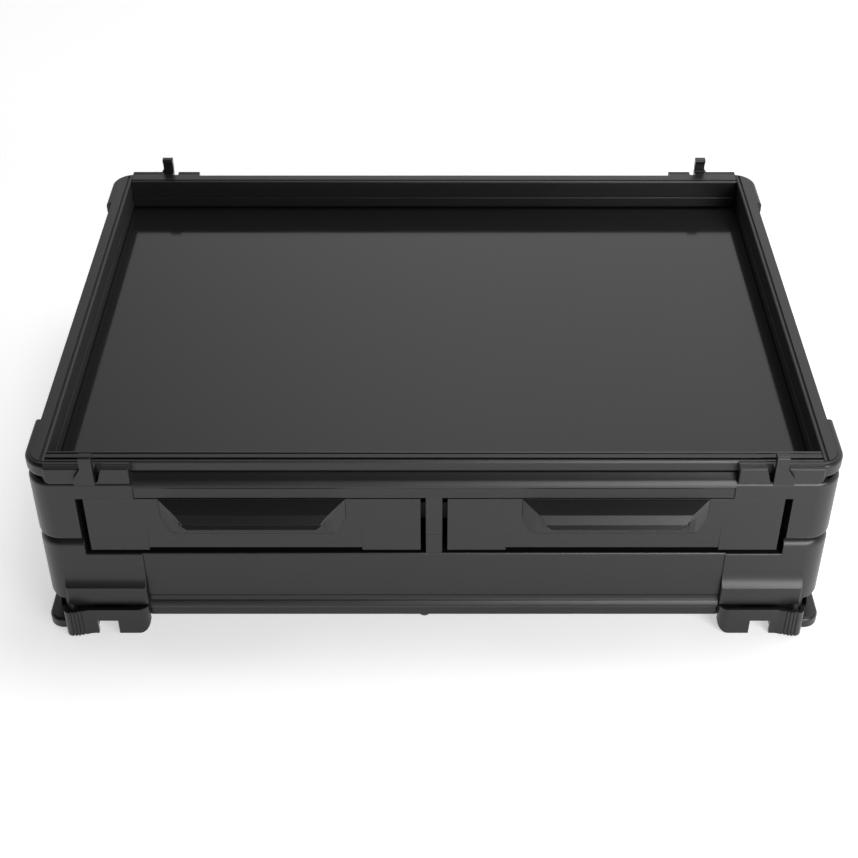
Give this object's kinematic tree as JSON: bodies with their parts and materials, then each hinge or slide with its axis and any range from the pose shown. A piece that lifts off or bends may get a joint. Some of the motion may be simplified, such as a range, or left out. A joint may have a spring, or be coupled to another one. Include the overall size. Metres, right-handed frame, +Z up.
{
  "type": "stacking drawer unit",
  "caption": "Low black stacking organiser with an open top tray, twin sliding drawers, fluted rails, rounded corner mouldings and sliding latches",
  "frame": {"origin": "on the floor under the middle of the unit", "axes": "X to the right along the long side, Y to the rear with the drawers opening to -Y, Z up"},
  "size_m": [0.564, 0.426, 0.164],
  "materials": {
    "rail": "black anodised, satin",
    "panel": "black sheet, satin",
    "tray_sheet": "black sheet, glossy",
    "moulding": "moulded, fine grain",
    "fitting": "moulded, satin",
    "runner": "extruded, smooth",
    "drawer_shell": "extruded and sheet, satin",
    "drawer_face": "moulded, satin",
    "screw": "black oxide"
  },
  "bodies": {
    "cabinet": {"front_top_rail": "rail", "front_bottom_rail": "rail", "rear_top_rail": "rail", "rear_bottom_rail": "rail", "left_top_rail": "rail", "left_bottom_rail": "rail", "right_top_rail": "rail", "right_bottom_rail": "rail", "rear_panel": "panel", "left_panel": "panel", "right_panel": "panel", "tray_floor": "tray_sheet", "drawer_deck": "panel", "upper_corner_front_left": "moulding", "lower_corner_front_left": "moulding", "hook_front_left": "fitting", "upper_corner_front_right": "moulding", "lower_corner_front_right": "moulding", "hook_front_right": "fitting", "upper_corner_rear_left": "moulding", "lower_corner_rear_left": "moulding", "hook_rear_left": "fitting", "upper_corner_rear_right": "moulding", "lower_corner_rear_right": "moulding", "hook_rear_right": "fitting", "centre_divider": "panel", "divider_foot": "moulding", "left_drawer_stop": "runner", "left_outer_runner": "runner", "left_inner_runner": "runner", "right_drawer_stop": "runner", "right_outer_runner": "runner", "right_inner_runner": "runner", "corner_screws": "screw", "panel_screws": "screw", "runner_screws": "screw", "front_rail_screw": "screw"},
    "left_drawer": {"left_drawer_base": "drawer_shell", "left_drawer_outer_side": "drawer_shell", "left_drawer_inner_side": "drawer_shell", "left_drawer_front_wall": "drawer_shell", "left_drawer_rear_wall": "drawer_shell", "left_drawer_front": "drawer_face", "left_drawer_pull": "drawer_face", "left_pull_screws": "screw"},
    "right_drawer": {"right_drawer_base": "drawer_shell", "right_drawer_outer_side": "drawer_shell", "right_drawer_inner_side": "drawer_shell", "right_drawer_front_wall": "drawer_shell", "right_drawer_rear_wall": "drawer_shell", "right_drawer_front": "drawer_face", "right_drawer_pull": "drawer_face", "right_pull_screws": "screw"},
    "front_left_latch": {"latch_front_left": "fitting"},
    "front_right_latch": {"latch_front_right": "fitting"},
    "rear_left_latch": {"latch_rear_left": "fitting"},
    "rear_right_latch": {"latch_rear_right": "fitting"}
  },
  "joints": [
    {"name": "left_drawer_slide", "type": "slide", "parent": "cabinet", "child": "left_drawer", "axis": [0, -1, 0], "range_m": [0, 0.28]},
    {"name": "right_drawer_slide", "type": "slide", "parent": "cabinet", "child": "right_drawer", "axis": [0, -1, 0], "range_m": [0, 0.28]},
    {"name": "front_left_latch_slide", "type": "slide", "parent": "cabinet", "child": "front_left_latch", "axis": [1, 0, 0], "range_m": [0, 0.008]},
    {"name": "front_right_latch_slide", "type": "slide", "parent": "cabinet", "child": "front_right_latch", "axis": [-1, 0, 0], "range_m": [0, 0.008]},
    {"name": "rear_left_latch_slide", "type": "slide", "parent": "cabinet", "child": "rear_left_latch", "axis": [1, 0, 0], "range_m": [0, 0.008]},
    {"name": "rear_right_latch_slide", "type": "slide", "parent": "cabinet", "child": "rear_right_latch", "axis": [-1, 0, 0], "range_m": [0, 0.008]}
  ]
}
